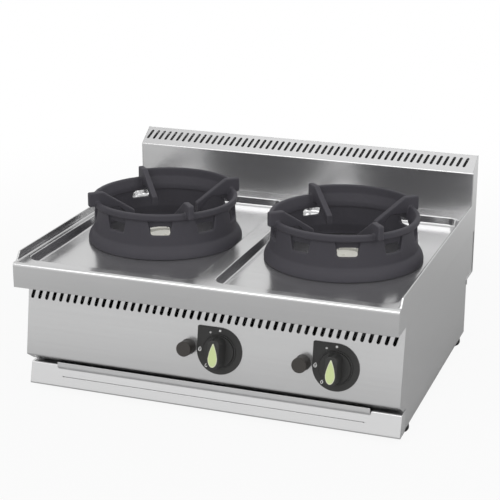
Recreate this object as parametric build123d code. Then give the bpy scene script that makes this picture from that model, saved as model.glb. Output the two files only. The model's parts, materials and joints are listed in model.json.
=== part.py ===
from build123d import *
import os
from math import sin, cos, tan, radians

# Countertop gas wok range: a pressed worktop with two wells, each with a cast-iron wok ring over a
# round burner, a leaning control panel, a slotted flue cowl and a pull-out drip tray.
# Millimetres. X to the right, Y to the back, Z up. The origin is on the bench under the middle.

# ---- whole range ----
width = 800.0                   # across the worktop's side skirts
depth = 696.0                   # front skirt to back of flue cowl
worktop_height = 295.0          # bench to working surface
lower_depth = 635.0             # front skirt to back of the lower body
ledge_height = 143.5            # bench to the step in the back
top_sheet = 1.5                 # worktop sheet
body_sheet = 1.2                # sheet of every other panel
seam = 0.2                      # gap between panels that are screwed together

# ---- worktop ----
skirt_drop = 52.0               # working surface down to the skirt's lower edge
return_gap = 0.6                # folded return under the front skirt to the control panel
front_edge_radius = 7.0
upstand_height = 17.0           # side upstand above the working surface
upstand_hem = 3.0               # folded thickness of the upstand
upstand_crest = 1.35            # rounding of its top edges
upstand_foot = 13.4             # front skirt to where the upstand starts to rise
upstand_run = 15.0              # length of its sloped front end
upstand_bend = 4.0              # radius where upstand meets surface
well_side_margin = 15.0         # outer skirt to well
well_front_margin = 29.5
well_rear_margin = 46.5         # well to cowl
well_gap = 38.0                 # bar between the two wells
well_depth = 18.0
well_draft = 5.0                # how far each wall leans in by the floor
well_corner = 27.0
well_top_radius = 2.5
well_floor_radius = 5.0
flue_inset = 8.0                # cowl walls to the opening under the cowl

# ---- flue cowl ----
cowl_depth = 47.5               # horizontal depth at its top
cowl_front_height = 92.5        # working surface to the bend
cowl_slope = 33.7               # degrees of the slotted top
cowl_bend_radius = 4.0
cowl_foot = 12.0                # flange turned down behind the lower body
cowl_lap = 15.0                 # flange of the slotted top inside the rear sheet
cowl_lap_bend = 1.6             # bend radii, outside
cowl_rear_bend = 1.8

# ---- vents ----
vent_width = 7.0
panel_vent_margin = 16.0        # end of the panel to the middle of the first slot, about
panel_vent_pitch = 16.0
panel_vent_length = 26.0
panel_vent_rise = 132.0         # panel's lower edge up to the middle of the slots
panel_vent_slant = 15.0         # degrees, top leaning right
panel_vent_shift = -2.8         # middle of the row from the middle of the range
cowl_vent_margin = 17.5
cowl_vent_shift = -6.0
cowl_vent_rise = 2.5            # middle of the slope to the middle of the slots, along Y
cowl_vent_pitch = 15.0
cowl_vent_length = 29.0
cowl_vent_width = 6.4
cowl_vent_slant = 12.8

# ---- control panel ----
panel_lean = 9.2                # degrees, facing up
panel_foot_setback = 37.0       # front skirt to the panel's lower edge
panel_foot_height = 83.0        # bench to the panel's lower edge
panel_tuck = 20.0               # how far the panel runs up behind the skirt
panel_bend_radius = 3.0
panel_under_run = 30.0          # sloped underside, along Y
panel_under_drop = 20.0         # sloped underside, along Z
side_setback = 86.0             # front skirt to the side panels
side_flange = 12.0              # side panel's folded front edge
side_flange_gap = 1.0           # that edge's top to the well

# ---- knobs ----
knob_rise = 63.0                # panel's lower edge up to the knob centre
right_knob_inset = 133.0        # range's right edge to the right knob
knob_spacing = 240.0
knob_radius = 31.7
knob_base_thick = 4.0
knob_reach = 39.0               # panel face to grip face
knob_push = 3.0
knob_hub_depth = 27.0           # panel face to the end of the stem inside the knob
grip_width = 24.0
grip_length = 57.0
grip_root_width = 31.0
grip_root_length = 61.0
grip_corner = 10.0
grip_root_corner = 13.0
mark_length = 48.0              # drop-shaped insert
mark_width = 19.5
mark_proud = 0.6
mark_depth = 1.6
mark_gap = 0.1                  # insert to its pocket
mark_drop = 1.5                 # insert's middle below the knob's
mark_foot_share = 0.36          # of the insert's length, its half-elliptical foot
mark_side_share = (0.66, 0.52)  # where its side bends: of the half width, of the way to the tip
mark_tip = 0.9                  # half width of the blunt tip
mark_edge = 0.4
knob_edge = 1.2                 # rounded edges
grip_edge = 1.6
bezel_radius = 47.5
bezel_thick = 3.0
bezel_corner = 3.0
bezel_edge = 0.8                # chamfered edges of plate and collar
collar_edge = 1.0
bezel_hole_gap = 3.0            # stem to the hole in bezel and panel
bezel_floor = 1.2               # thickness left under the knob
collar_height = 3.0             # collar above the bezel plate
collar_wall = 2.4
knob_gap = 0.7                  # knob edge to collar, and knob to bezel floor when pushed in
stem_radius = 4.0
stem_flat = 1.2                 # depth of the flat at the stem's end
stem_clearance = 0.05

# ---- ignition buttons ----
button_to_knob = 67.0
button_radius = 15.2
button_reach = 27.0
button_tail = 8.0               # part of the button behind the panel face
button_push = 4.0
button_gap = 0.5
button_stem_radius = 5.0
button_stem_length = 16.0
button_edge = 1.2
igniter_radius = 11.0
igniter_length = 44.0
igniter_wall = 2.0
igniter_flange = 4.0            # cup to the flange's edge
cup_room = 1.0                  # pushed button to the cup's floor
barrel_room = 2.0               # pushed stem to the end of its bore
terminal_width = 6.3
terminal_thick = 0.8
terminal_length = 16.0

# ---- gas train ----
pipe_radius = 10.65
pipe_wall = 2.6
pipe_bend = 34.0
pipe_drop = 31.0                # knob axis down to the manifold, along the panel
pipe_setback = 42.0             # panel face back to the manifold
pipe_end = 45.0                 # manifold past the left valve
supply_inset = 65.0             # range's right edge to the pipe run to the back
inlet_radius = 10.48            # half-inch pipe thread
inlet_reach = 32.0              # inlet behind the lower body
inlet_shank_radius = 9.6        # plain part of the inlet, inside the nuts
inlet_tip_chamfer = 1.2
nut_radius = 15.0               # across the corners
union_nut_length = 16.0
lock_nut_length = 6.0
valve_size = 32.0
valve_front = 16.0              # panel face back to the valve body
valve_length = 44.0
bonnet_radius = 11.0
bonnet_front = 5.0              # panel face back to the bonnet
plunger_radius = 6.8
plunger_length = 8.0
plunger_depth = 24.0            # panel face back to the plunger
stem_seat = 4.0                 # stem's length inside the plunger
plunger_room = 1.0              # pushed plunger to the end of its bore
valve_chamfer = 4.0
saddle_wall = 5.0               # metal round the manifold, at the valve's saddle
saddle_inset = 3.0              # saddle narrower than the valve on each side
saddle_lap = 4.0                # saddle into the valve body
pipe_clearance = 0.05           # pipes in their seats
outlet_length = 10.0
outlet_nut_radius = 9.5         # across the corners
outlet_bore_depth = 8.0
manifold_cap_wall = 3.0         # end cap's corners past the pipe
manifold_cap_length = 10.0
inlet_hole_gap = 1.0            # inlet to the hole in the rear panel
inlet_gap = 2.0                 # union nut to the manifold's end
gas_way = 3.0                   # radius of the bores inside valve outlet and holder
feed_run = 13.0                 # valve outlet back to the injector holder
feed_radius = 4.0
feed_bend = 11.0
feed_seat = 6.0                 # feed pipe's length inside outlet and holder

# ---- wok ring, heights above the well floor ----
ring_inset = 2.0                # ring and burner nearer the middle of the range than their well
ring_base_radius = 165.5
ring_foot_height = 5.0
ring_shoulder_radius = 153.4
ring_neck_radius = 150.0
ring_flare_height = 26.0
ring_flare_sag = 5.4            # how far the flare curves in from a straight line
ring_wall = 7.0
rim_radius = 155.5
rim_bottom = 81.0
rim_top = 95.0
rim_wall = 8.3
bead_depth = 7.5                # how far the inner bead stands in from the rim
bead_slope = 1.0                # how far the bead's upper face leans out
bead_bottom = 67.5
bead_top = 77.0
back_wall_top = 113.0
back_wall_setback = 1.3         # rim's outer face to the wall's
back_wall_draft = 0.8
casting_round = 2.0             # rounded edges of the ring's rim, foot and bead
ring_turn = 41.5                # bearing of the first fin, degrees
fin_count = 4
fin_thick = 13.6
fin_top_thick = 12.0
fin_edge_round = 1.4
fin_reach = 169.5
fin_top = 115.2
fin_block_bottom = 84.6
fin_flat_radius = 138.0         # where the flat top ends
fin_inner_radius = 70.0
fin_inner_top = 69.2
fin_nose_bottom = 45.0          # lowest point of the fin's inner end
fin_arch_radius = 104.0         # where the nose ends and the arch to the wall begins
fin_arch_height = 79.0
fin_round = 2.5
window_count = 8
window_first = 135.0            # bearing of the first window, degrees
window_pitch = 38.5
window_top_width = 50.0
window_bottom_width = 38.5
window_bottom = 49.0
window_top = 78.5
window_round = 3.0

# ---- burner ----
burner_opening = 66.5           # radius of the hole in the well floor
burner_radius = 64.5
burner_proud = 2.0              # burner top above the well floor
burner_height = 66.0
crown_width = 10.5
crown_thick = 8.0
flame_gap = 13.5
bowl_wall = 6.0
bowl_base_radius = 38.0
bowl_waist_inset = 7.0          # crown's outer edge to the bowl under it
bowl_taper = 3.0                # how much narrower the bowl is at its bend
bowl_bend_height = 22.0
post_radius = 12.0
post_clearance = 0.4
cap_thick = 8.0
cap_dome = 1.5
cap_hub_wall = 4.0
cap_hub_depth = 8.0
cap_edge = 1.5
cap_dimple_radius = 3.5
mixer_drop = 40.0               # burner top down to the mixing tube's axis
mixer_radius = 17.0
mixer_bore = 12.5
mixer_mouth = 25.0
mixer_mouth_length = 26.0
mouth_rim = 10.0                # straight rim of the bell mouth, and its foot
mouth_wall = 3.0
mixer_flange = 25.0
mixer_flange_thick = 6.0
mixer_flange_web = 2.0          # cone between flange and tube
injector_gap = 12.0             # nozzle tip to mouth
injector_length = 18.0
injector_radius = 5.5
injector_shoulder = 1.0         # hexagon past the nozzle's root
injector_bore = 0.8
injector_tip = 2.2
holder_radius = 9.0
holder_flange = 13.0
holder_flange_thick = 3.0
holder_boss_inset = 2.0         # boss narrower than the holder
holder_boss_proud = 1.0
rail_width = 60.0
rail_leg = 18.0
rail_bend = 3.0
rail_gap = 2.0                  # bell mouth to rail, bridged by the tube's foot
rail_edge_gap = 1.0             # holder's flange to the rail's edge
rail_hole_gap = 1.0             # feed pipe to its hole in the rail
pilot_reach = 79.0              # burner axis to pilot burner
pilot_spread = 12.0
pilot_rise = 7.0                # pilot tips above the well floor
pilot_drop = 40.0               # pilot parts below the well floor
pilot_slot_width = 42.0
pilot_slot_reach = 93.0
pilot_radius = 4.5
pilot_tail = 14.0               # below the bracket
pilot_hood_edge = 1.5
pilot_port_width = 3.0          # slot in the hood, towards the burner
pilot_port = (8.0, 4.0)         # its lower and upper edge below the tip
sensor_radius = 2.5             # thermocouple's rod
sensor_tail = 16.0              # thermocouple and electrode below the bracket
sensor_edge = 1.2
sensor_extra = 2.0              # thermocouple's tip above the pilot's
sensor_collar_radius = 4.0
sensor_collar_length = 6.0
electrode_radius = 3.5          # ceramic sleeve
electrode_edge = 1.0
electrode_bare = 8.0            # sleeve's end below the pilot's tip
wire_radius = 0.9
wire_bend = 2.0
wire_rise = 2.0                 # spark wire above the pilot's tip
wire_run = 6.0                  # its bent end, towards the pilot
bracket_thick = 2.0
bracket_reach = 9.0             # past the pilot's axis
bracket_side = 7.0              # past the sensors' axes

# ---- drip tray ----
front_height = 46.0             # tray front, upright height
front_foot = 13.0               # bench to its lower edge
front_setback = 45.7
front_lean = 15.0
front_return = 18.0             # folded lower edge
front_flange = 17.0             # folded upper edge
front_bend = 3.0
lip_half = 336.0
lip_height = 15.0
lip_step = 5.5
lip_notch = 7.0                 # upper edge of the front down to the lip's foot
lip_root = 4.0                  # lip's lap down the front's face
lip_lean = 1.5
lip_bend = 2.0
slit_half = 324.0
slit_rise = 23.5                # tray front's lower edge up to the slit
slit_width = 0.8
slit_end_radius = 1.12
tray_clearance = 24.0           # side panel to tray wall
tray_front_gap = 16.0           # tray front's foot back to the tray wall
tray_floor = 24.0               # bench to tray underside
tray_wall_height = 30.0
tray_length = 500.0
tray_rim = 10.0
tray_corner = 12.0
runner_leg = 20.0
runner_gap = 0.2

# ---- base and feet ----
base_height = 17.5              # bench to underside of base
base_flange = 15.0
foot_radius = 19.0
foot_inset = 18.5               # outer face of side panel to foot centre
foot_front = 116.0
foot_rear = 592.0
foot_bore = 8.5
foot_seat = 10.5                # bench to the screw head's seat
foot_edge_run = 6.0             # rounded lower edge, inwards
foot_edge_rise = 9.625          # and up
foot_edge_round = 9.0
foot_taper = 1.0
screw_radius = 4.0
screw_clearance = 0.25
screw_head_radius = 7.0
screw_head_thick = 4.0
screw_nut_radius = 7.6          # across the corners
screw_nut_thick = 4.0
screw_reach = 8.0               # above the base pan
panel_screw_radius = 3.5
panel_screw_proud = 1.8
panel_screw_edge = 1.0
panel_screw_margin = 40.0       # end of the range to the first screw
panel_screw_count = 4           # in each row
panel_screw_drop = 3.0          # below the middle of the cowl's lap
panel_screw_rise = 1.0          # above the middle of the base's flange

# ---- modelling ----
past = 1.0                      # how far a cutter reaches past what it cuts
through = 5.0                   # the same through one sheet, both ways
vent_cut = 3.0                  # the same for vents and slits
join = 0.5                      # lap of two solids that are joined
near = 0.01                     # edges this close to a place are taken to lie on it

# ---- worked out from the sizes above ----
front_y = -depth / 2
rear_y = depth / 2
half = width / 2
cowl_y = rear_y - cowl_depth
cowl_bend_z = worktop_height + cowl_front_height
cowl_back_y = rear_y - body_sheet - seam
cowl_top_z = cowl_bend_z + (cowl_back_y - cowl_y) * tan(radians(cowl_slope))
side_outer = half - top_sheet - seam
side_inner = side_outer - body_sheet
side_y = front_y + side_setback
lower_y = front_y + lower_depth
skirt_bottom = worktop_height - skirt_drop
worktop_rear = cowl_back_y
well_width = (width - 2 * well_side_margin - well_gap) / 2
well_length = cowl_y - front_y - well_front_margin - well_rear_margin
well_x = (well_gap + well_width) / 2
burner_x = well_x - ring_inset
well_y = front_y + well_front_margin + well_length / 2
well_floor = worktop_height - well_depth
panel_foot_y = front_y + panel_foot_setback
panel_length = (skirt_bottom + panel_tuck - panel_foot_height) / cos(radians(panel_lean))
panel_under_z = panel_foot_height - panel_under_drop
panel_under_y = panel_foot_y + panel_under_run
burner_top = well_floor + burner_proud
burner_base = burner_top - burner_height
cap_radius = burner_radius - crown_width - flame_gap
mixer_z = burner_top - mixer_drop
mixer_start_y = well_y - burner_radius
knob_y = panel_foot_y + knob_rise * sin(radians(panel_lean))
valve_outlet = valve_front + valve_length + outlet_length
holder_y = knob_y + valve_outlet * cos(radians(panel_lean)) + feed_run
mouth_y = holder_y + injector_length + injector_gap
mixer_length = mixer_start_y - mouth_y
rail_top = mixer_z - mixer_mouth - rail_gap
rail_y = holder_y - holder_flange - rail_edge_gap
panel_face_y = panel_foot_y + (skirt_bottom - panel_foot_height) * tan(radians(panel_lean))
bezel_hole = stem_radius + bezel_hole_gap
recess_radius = knob_radius + knob_gap
collar_radius = recess_radius + collar_wall
knob_back = bezel_floor + knob_gap + knob_push
grip_start = knob_back + knob_base_thick
sides = {"left": -1, "right": 1}
right_knob_x = half - right_knob_inset
left_knob_x = right_knob_x - knob_spacing
supply_x = half - supply_inset
inlet_start_y = lower_y - body_sheet - union_nut_length - inlet_gap
knob_places = {"left": left_knob_x, "right": right_knob_x}


# ---- helpers ----
def on_panel(x, rise):
    """Frame on the control panel's face: its Z points out of the panel, its Y up the slope."""
    lean = radians(panel_lean)
    foot = (x, panel_foot_y + rise * sin(lean), panel_foot_height + rise * cos(lean))
    return Plane(origin=foot, x_dir=(1, 0, 0), z_dir=(0, -cos(lean), sin(lean))).location


def side_profile(face, x_start, x_end):
    """Extrude a (y, z) face along X."""
    return extrude(Plane.YZ.offset(x_start) * face, amount=x_end - x_start, dir=(1, 0, 0))


def folded(points, thick, x_start, x_end, radius, side):
    """A folded sheet from the (y, z) line of its outer face."""
    line = FilletPolyline(*points, radius=radius)
    outline = line.wires()[0].offset_2d(thick, side=side, closed=True)
    return side_profile(Sketch(Face(outline).wrapped), x_start, x_end)


def rod(x, y, z_low, z_high, radius):
    """An upright cylinder."""
    return Pos(x, y, z_low) * Cylinder(radius, z_high - z_low, align=(Align.CENTER, Align.CENTER, Align.MIN))


def block(x_range, y_range, z_range):
    """A box from its limits."""
    sizes = [high - low for low, high in (x_range, y_range, z_range)]
    middle = [(low + high) / 2 for low, high in (x_range, y_range, z_range)]
    return Pos(*middle) * Box(*sizes)


def disc(radius, low, high):
    """A cylinder along the local Z."""
    return Pos(0, 0, low) * Cylinder(radius, high - low, align=(Align.CENTER, Align.CENTER, Align.MIN))


def bent_pipe(points, bend, radius, bore=0.0):
    """A pipe along straight runs joined by arcs."""
    path = FilletPolyline(*points, radius=bend)
    section = Circle(radius)
    if bore:
        section -= Circle(bore)
    start = Plane(origin=path @ 0, z_dir=path % 0)
    return sweep(start * section, path=path)


def vent_row(margin, pitch, length, slot_width, slant):
    """A row of slanted round-ended slots across the width, centred on the local origin."""
    slot = Rot(0, 0, 90 - slant) * SlotOverall(length, slot_width)
    count = 1 + round((width - 2 * margin) / pitch)
    middle = (count - 1) / 2
    return Sketch() + [Pos((i - middle) * pitch, 0) * slot for i in range(count)]


# ---- worktop ----
def well_volume(grow):
    """The space of one well, or with its sheet when grown by it."""
    deep = well_depth + grow
    size_x, size_y = well_width + 2 * grow, well_length + 2 * grow
    lean = well_draft
    top = Pos(0, 0, worktop_height) * RectangleRounded(size_x, size_y, well_corner + grow)
    low = Pos(0, 0, worktop_height - deep) * RectangleRounded(
        size_x - 2 * lean, size_y - 2 * lean, well_corner + grow - lean)
    solid = loft([low, top], ruled=True)
    floor_edges = solid.faces().sort_by(Axis.Z)[0].edges()
    return fillet(floor_edges, well_floor_radius + grow)


def upstand(sign):
    """Folded edge along one side of the worktop, with its sloped front end."""
    low = worktop_height - top_sheet
    high = worktop_height + upstand_height
    start = front_y + upstand_foot
    end = cowl_y - seam
    face = make_face(Polyline((start, low), (start, worktop_height), (start + upstand_run, high),
                              (end, high), (end, low), close=True))
    x_out = sign * half
    x_in = sign * (half - upstand_hem)
    solid = side_profile(face, min(x_in, x_out), max(x_in, x_out))
    crests = solid.edges().group_by(Axis.Z)[-1].filter_by(Axis.Y)
    return fillet(crests, upstand_crest)


def worktop():
    """Pressed top: skirt all round, two wells, side upstands, burner and flue openings."""
    outer = block((-half, half), (front_y, worktop_rear), (skirt_bottom, worktop_height))
    outer = fillet(outer.edges().filter_by(Axis.X).group_by(Axis.Z)[-1].sort_by(Axis.Y)[0], front_edge_radius)
    inner = block((-half + top_sheet, half - top_sheet), (front_y + top_sheet, worktop_rear - top_sheet),
                  (skirt_bottom - past, worktop_height - top_sheet))
    inner = fillet(inner.edges().filter_by(Axis.X).group_by(Axis.Z)[-1].sort_by(Axis.Y)[0],
                   front_edge_radius - top_sheet)
    top = outer - inner
    top += block((-half, half), (front_y, panel_face_y - return_gap), (skirt_bottom, skirt_bottom + top_sheet))
    for x in (-well_x, well_x):
        top += Pos(x, well_y, 0) * well_volume(top_sheet)
    for x in (-well_x, well_x):
        top -= Pos(x, well_y, 0) * well_volume(0.0)
    reach_x, reach_y = well_width / 2 + past, well_length / 2 + past
    rims = top.edges().filter_by(
        lambda e: abs(e.center().Z - worktop_height) < near
        and abs(abs(e.center().X) - well_x) < reach_x and abs(e.center().Y - well_y) < reach_y)
    top = fillet(rims, well_top_radius)
    for sign in (-1, 1):
        top += upstand(sign)
    feet = top.edges().filter_by(Axis.Y).filter_by(
        lambda e: abs(abs(e.center().X) - half + upstand_hem) < near
        and abs(e.center().Z - worktop_height) < near)
    top = fillet(feet, upstand_bend)
    floor_cut = (well_floor - through, well_floor + through)
    for x in (-burner_x, burner_x):
        top -= rod(x, well_y, *floor_cut, burner_opening)
        top -= block((x, x + pilot_slot_reach), (well_y - pilot_slot_width / 2, well_y + pilot_slot_width / 2),
                     floor_cut)
    flue_x = half - flue_inset - body_sheet
    top -= block((-flue_x, flue_x), (cowl_y + flue_inset, worktop_rear - flue_inset),
                 (worktop_height - through, worktop_height + through))
    return top


# ---- flue cowl ----
def cowl_front():
    """Front and slotted top of the cowl, one folded sheet."""
    reach = half - body_sheet - seam
    line = [(cowl_y, worktop_height), (cowl_y, cowl_bend_z), (cowl_back_y, cowl_top_z),
            (cowl_back_y, cowl_top_z - cowl_lap)]
    sheet = folded(line, body_sheet, -reach, reach, (cowl_bend_radius, cowl_lap_bend), Side.RIGHT)
    slope = radians(cowl_slope)
    middle_y = (cowl_y + cowl_back_y) / 2 + cowl_vent_rise
    middle_z = cowl_bend_z + (middle_y - cowl_y) * tan(slope)
    face = Plane(origin=(cowl_vent_shift, middle_y, middle_z), x_dir=(1, 0, 0),
                 z_dir=(0, -sin(slope), cos(slope)))
    row = vent_row(cowl_vent_margin, cowl_vent_pitch, cowl_vent_length, cowl_vent_width, cowl_vent_slant)
    return sheet - extrude(face * row, amount=vent_cut, both=True)


def cowl_end(sign):
    """End plate of the cowl, standing on the worktop."""
    face = make_face(Polyline((cowl_y, worktop_height), (cowl_y, cowl_bend_z), (cowl_back_y, cowl_top_z),
                              (cowl_back_y, worktop_height), close=True))
    x_out = sign * half
    x_in = sign * (half - body_sheet)
    plate = side_profile(face, min(x_in, x_out), max(x_in, x_out))
    front_bend = plate.edges().filter_by(Axis.X).sort_by(lambda e: abs(e.center().Y - cowl_y) +
                                                         abs(e.center().Z - cowl_bend_z))[0]
    return fillet(front_bend, cowl_bend_radius)


def cowl_rear():
    """Rear sheet of the cowl, stepped in to the lower body."""
    foot_y = lower_y + body_sheet + seam
    line = [(rear_y, cowl_top_z - body_sheet), (rear_y, ledge_height), (foot_y, ledge_height),
            (foot_y, ledge_height - cowl_foot)]
    return folded(line, body_sheet, -half, half, cowl_rear_bend, Side.RIGHT)


# ---- body panels ----
def side_panel(sign):
    """Side panel with a folded front edge."""
    top = worktop_height - top_sheet - seam
    upper_y = worktop_rear - top_sheet - seam
    stop_y = lower_y - body_sheet - seam
    face = make_face(Polyline((side_y, base_height), (side_y, top), (upper_y, top),
                              (upper_y, ledge_height + body_sheet + seam),
                              (stop_y, ledge_height + body_sheet + seam), (stop_y, base_height), close=True))
    x_out = sign * side_outer
    x_in = sign * side_inner
    plate = side_profile(face, min(x_in, x_out), max(x_in, x_out))
    x_flange = sign * (side_inner - side_flange)
    flange_top = well_floor - top_sheet - side_flange_gap
    plate += block((min(x_flange, x_out), max(x_flange, x_out)), (side_y, side_y + body_sheet),
                   (base_height, flange_top))
    return plate


def rear_panel():
    """Lower rear panel with the gas inlet's hole."""
    plate = block((-side_outer, side_outer), (lower_y - body_sheet, lower_y),
                  (base_height, ledge_height - seam))
    inlet = Plane(origin=(supply_x, lower_y, manifold_centre().Z), z_dir=(0, 1, 0))
    return plate - extrude(inlet * Circle(inlet_radius + inlet_hole_gap), amount=through, both=True)


def base():
    """Base pan, flanged up at the sides and the back."""
    x_out = side_inner - seam
    y_front = side_y + 2 * body_sheet
    y_back = lower_y - body_sheet - seam
    pan = block((-x_out, x_out), (y_front, y_back), (base_height, base_height + body_sheet + base_flange))
    pan -= block((-x_out + body_sheet, x_out - body_sheet), (y_front - past, y_back - body_sheet),
                 (base_height + body_sheet, base_height + body_sheet + base_flange + past))
    for x, y in foot_centres():
        pan -= rod(x, y, base_height - past, base_height + body_sheet + past, screw_radius + screw_clearance)
    return pan


def foot_centres():
    """Centres of the four feet."""
    x = side_outer - foot_inset
    return [(sx * x, front_y + y) for y in (foot_front, foot_rear) for sx in (-1, 1)]


def feet():
    """Four moulded rubber feet, counterbored from below for their screws."""
    hole = screw_radius + screw_clearance
    sole = (foot_radius - foot_edge_run, 0)
    side = (foot_radius, foot_edge_rise)
    shape = make_face(Polyline((foot_bore, 0), sole) + RadiusArc(sole, side, -foot_edge_round) +
                      Polyline(side, (foot_radius - foot_taper, base_height), (hole, base_height),
                               (hole, foot_seat), (foot_bore, foot_seat), (foot_bore, 0)))
    foot = revolve(Plane.XZ * shape, axis=Axis.Z)
    return Compound(children=[Pos(x, y, 0) * foot for x, y in foot_centres()])


def foot_screws():
    """Screws that hold the feet, each with its head in the foot and a nut above the base."""
    end = base_height + body_sheet + screw_reach
    one = disc(screw_head_radius, foot_seat - screw_head_thick, foot_seat) + disc(screw_radius, foot_seat, end)
    nut = Pos(0, 0, base_height + body_sheet) * RegularPolygon(screw_nut_radius, 6)
    one += extrude(nut, amount=screw_nut_thick)
    return Compound(children=[Pos(x, y, 0) * one for x, y in foot_centres()])


def control_panel():
    """Leaning front panel, boxed at the ends, with vents and holes for the controls."""
    lean = radians(panel_lean)
    top = (panel_foot_y + panel_length * sin(lean), panel_foot_height + panel_length * cos(lean))
    foot = (panel_foot_y, panel_foot_height)
    under = (panel_under_y, panel_under_z)
    back_y = side_y - seam
    panel = folded([top, foot, under, (back_y, panel_under_z)], body_sheet, -side_outer, side_outer,
                   (panel_bend_radius, panel_bend_radius), Side.LEFT)
    end_face = make_face(FilletPolyline(top, foot, under, (back_y, panel_under_z),
                                        radius=(panel_bend_radius, panel_bend_radius)) +
                         Polyline((back_y, panel_under_z), (back_y, top[1]), top))
    for sign in (-1, 1):
        x_out = sign * side_outer
        x_in = sign * side_inner
        panel += side_profile(end_face, min(x_in, x_out), max(x_in, x_out))
    row = vent_row(panel_vent_margin, panel_vent_pitch, panel_vent_length, vent_width, panel_vent_slant)
    panel -= extrude(on_panel(panel_vent_shift, panel_vent_rise) * row, amount=vent_cut, both=True)
    for x in knob_places.values():
        panel -= on_panel(x, knob_rise) * disc(bezel_hole, -through, through)
        button_hole = disc(button_radius + button_gap, -through, through)
        panel -= on_panel(x - button_to_knob, knob_rise) * button_hole
    return panel


# ---- controls ----
def bezel():
    """Round dial plate with one square corner and a collar round the knob."""
    square = Pos(-bezel_radius / 2, bezel_radius / 2) * Rectangle(bezel_radius, bezel_radius)
    corner = square.vertices().sort_by(lambda v: v.X - v.Y)[0]
    plate = extrude(Circle(bezel_radius) + fillet(corner, bezel_corner), amount=bezel_thick)
    plate = chamfer(plate.faces().sort_by(Axis.Z)[-1].edges(), bezel_edge)
    collar = disc(collar_radius, bezel_thick, bezel_thick + collar_height)
    plate += chamfer(collar.faces().sort_by(Axis.Z)[-1].edges(), collar_edge)
    plate -= disc(recess_radius, bezel_floor, bezel_thick + collar_height + past)
    return plate - disc(bezel_hole, -past, bezel_thick)


def drop_outline(grow=0.0):
    """Drop shape: half an ellipse below, two arcs that meet in a tip above."""
    half_width = mark_width / 2 + grow
    round_part = mark_length * mark_foot_share
    tip_y = mark_length - round_part + grow
    mid = (half_width * mark_side_share[0], tip_y * mark_side_share[1])
    right = ThreePointArc((half_width, 0), mid, (mark_tip, tip_y))
    left = ThreePointArc((-mark_tip, tip_y), (-mid[0], mid[1]), (-half_width, 0))
    bottom = EllipticalCenterArc((0, 0), half_width, round_part + grow, start_angle=180, arc_size=180)
    shape = make_face(right + Line((mark_tip, tip_y), (-mark_tip, tip_y)) + left + bottom)
    return Pos(0, round_part - mark_length / 2 - mark_drop) * shape


def knob():
    """Round base with a raised grip bar, a pocket for the mark and a hub bore."""
    body = disc(knob_radius, knob_back, grip_start)
    body = fillet(body.faces().sort_by(Axis.Z)[-1].edges(), knob_edge)
    root = Pos(0, 0, grip_start - join) * RectangleRounded(grip_root_width, grip_root_length, grip_root_corner)
    tip = Pos(0, 0, knob_reach) * RectangleRounded(grip_width, grip_length, grip_corner)
    grip = loft([root, tip])
    grip = fillet(grip.faces().sort_by(Axis.Z)[-1].edges(), grip_edge)
    body += grip
    body -= extrude(Pos(0, 0, knob_reach - mark_depth) * drop_outline(mark_gap), amount=mark_depth + past)
    return body - stem_tip()


def knob_mark():
    """Drop-shaped insert in the knob's face."""
    shape = extrude(Pos(0, 0, knob_reach - mark_depth) * drop_outline(), amount=mark_depth + mark_proud)
    return fillet(shape.faces().sort_by(Axis.Z)[-1].edges(), mark_edge)


def stem_tip():
    """Flatted end of the stem, the space of the knob's hub bore too."""
    start = knob_back - knob_gap
    tip = disc(stem_radius, start, knob_hub_depth)
    flat = block((-stem_radius, stem_radius), (stem_radius - stem_flat, stem_radius), (start, knob_hub_depth))
    return tip - flat


def valve_stem():
    """Valve stem, flatted where the knob grips it."""
    return disc(stem_radius, -plunger_depth - stem_seat, knob_back - knob_gap) + stem_tip()


def valve_plunger():
    """Spring-loaded plunger that carries the stem and moves in when the knob is pushed."""
    body = disc(plunger_radius, -plunger_depth - plunger_length, -plunger_depth)
    return body - disc(stem_radius + stem_clearance, -plunger_depth - stem_seat, 0)


def gas_valve():
    """Safety valve: block with bonnet, plunger bore, manifold saddle and outlet nut."""
    back = -valve_front - valve_length
    low, high = back, -valve_front
    body = Pos(0, 0, (low + high) / 2) * Box(valve_size, valve_size, valve_length)
    body = chamfer(body.edges().filter_by(Axis.Z), valve_chamfer)
    body += disc(bonnet_radius, -valve_front, -bonnet_front)
    body += extrude(Pos(0, 0, back) * RegularPolygon(outlet_nut_radius, 6), amount=-outlet_length)
    saddle_size = 2 * (pipe_radius + saddle_wall)
    body += Pos(0, -pipe_drop / 2 - valve_size / 4, -pipe_setback) * Box(
        valve_size - 2 * saddle_inset, pipe_drop - valve_size / 2 + saddle_lap, saddle_size)
    pipe_place = Pos(0, -pipe_drop, -pipe_setback) * Rot(0, 90, 0)
    body -= pipe_place * Cylinder(pipe_radius + pipe_clearance, 4 * valve_size)
    bore_end = -plunger_depth - plunger_length - knob_push - plunger_room
    body -= disc(plunger_radius + stem_clearance, bore_end, -plunger_depth + past)
    body -= disc(stem_radius + stem_clearance, -plunger_depth, past)
    outlet_end = back - outlet_length
    return body - disc(feed_radius + pipe_clearance, outlet_end - past, outlet_end + outlet_bore_depth)


def igniter_body():
    """Piezo igniter: flanged cup behind the panel and the igniter barrel."""
    inner = button_radius + button_gap
    cup_floor = -button_tail - button_push - cup_room
    flange = disc(inner + igniter_wall + igniter_flange, -body_sheet - igniter_wall, -body_sheet)
    cup = disc(inner + igniter_wall, cup_floor - igniter_wall, -body_sheet)
    barrel = disc(igniter_radius, -igniter_length, cup_floor)
    body = flange + cup + barrel - disc(inner, cup_floor, past)
    stem_end = -button_tail - button_stem_length - button_push - barrel_room
    body -= disc(button_stem_radius + stem_clearance, stem_end, 0)
    terminal = Pos(0, 0, -igniter_length) * Box(terminal_width, terminal_thick, terminal_length)
    return body + terminal


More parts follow.
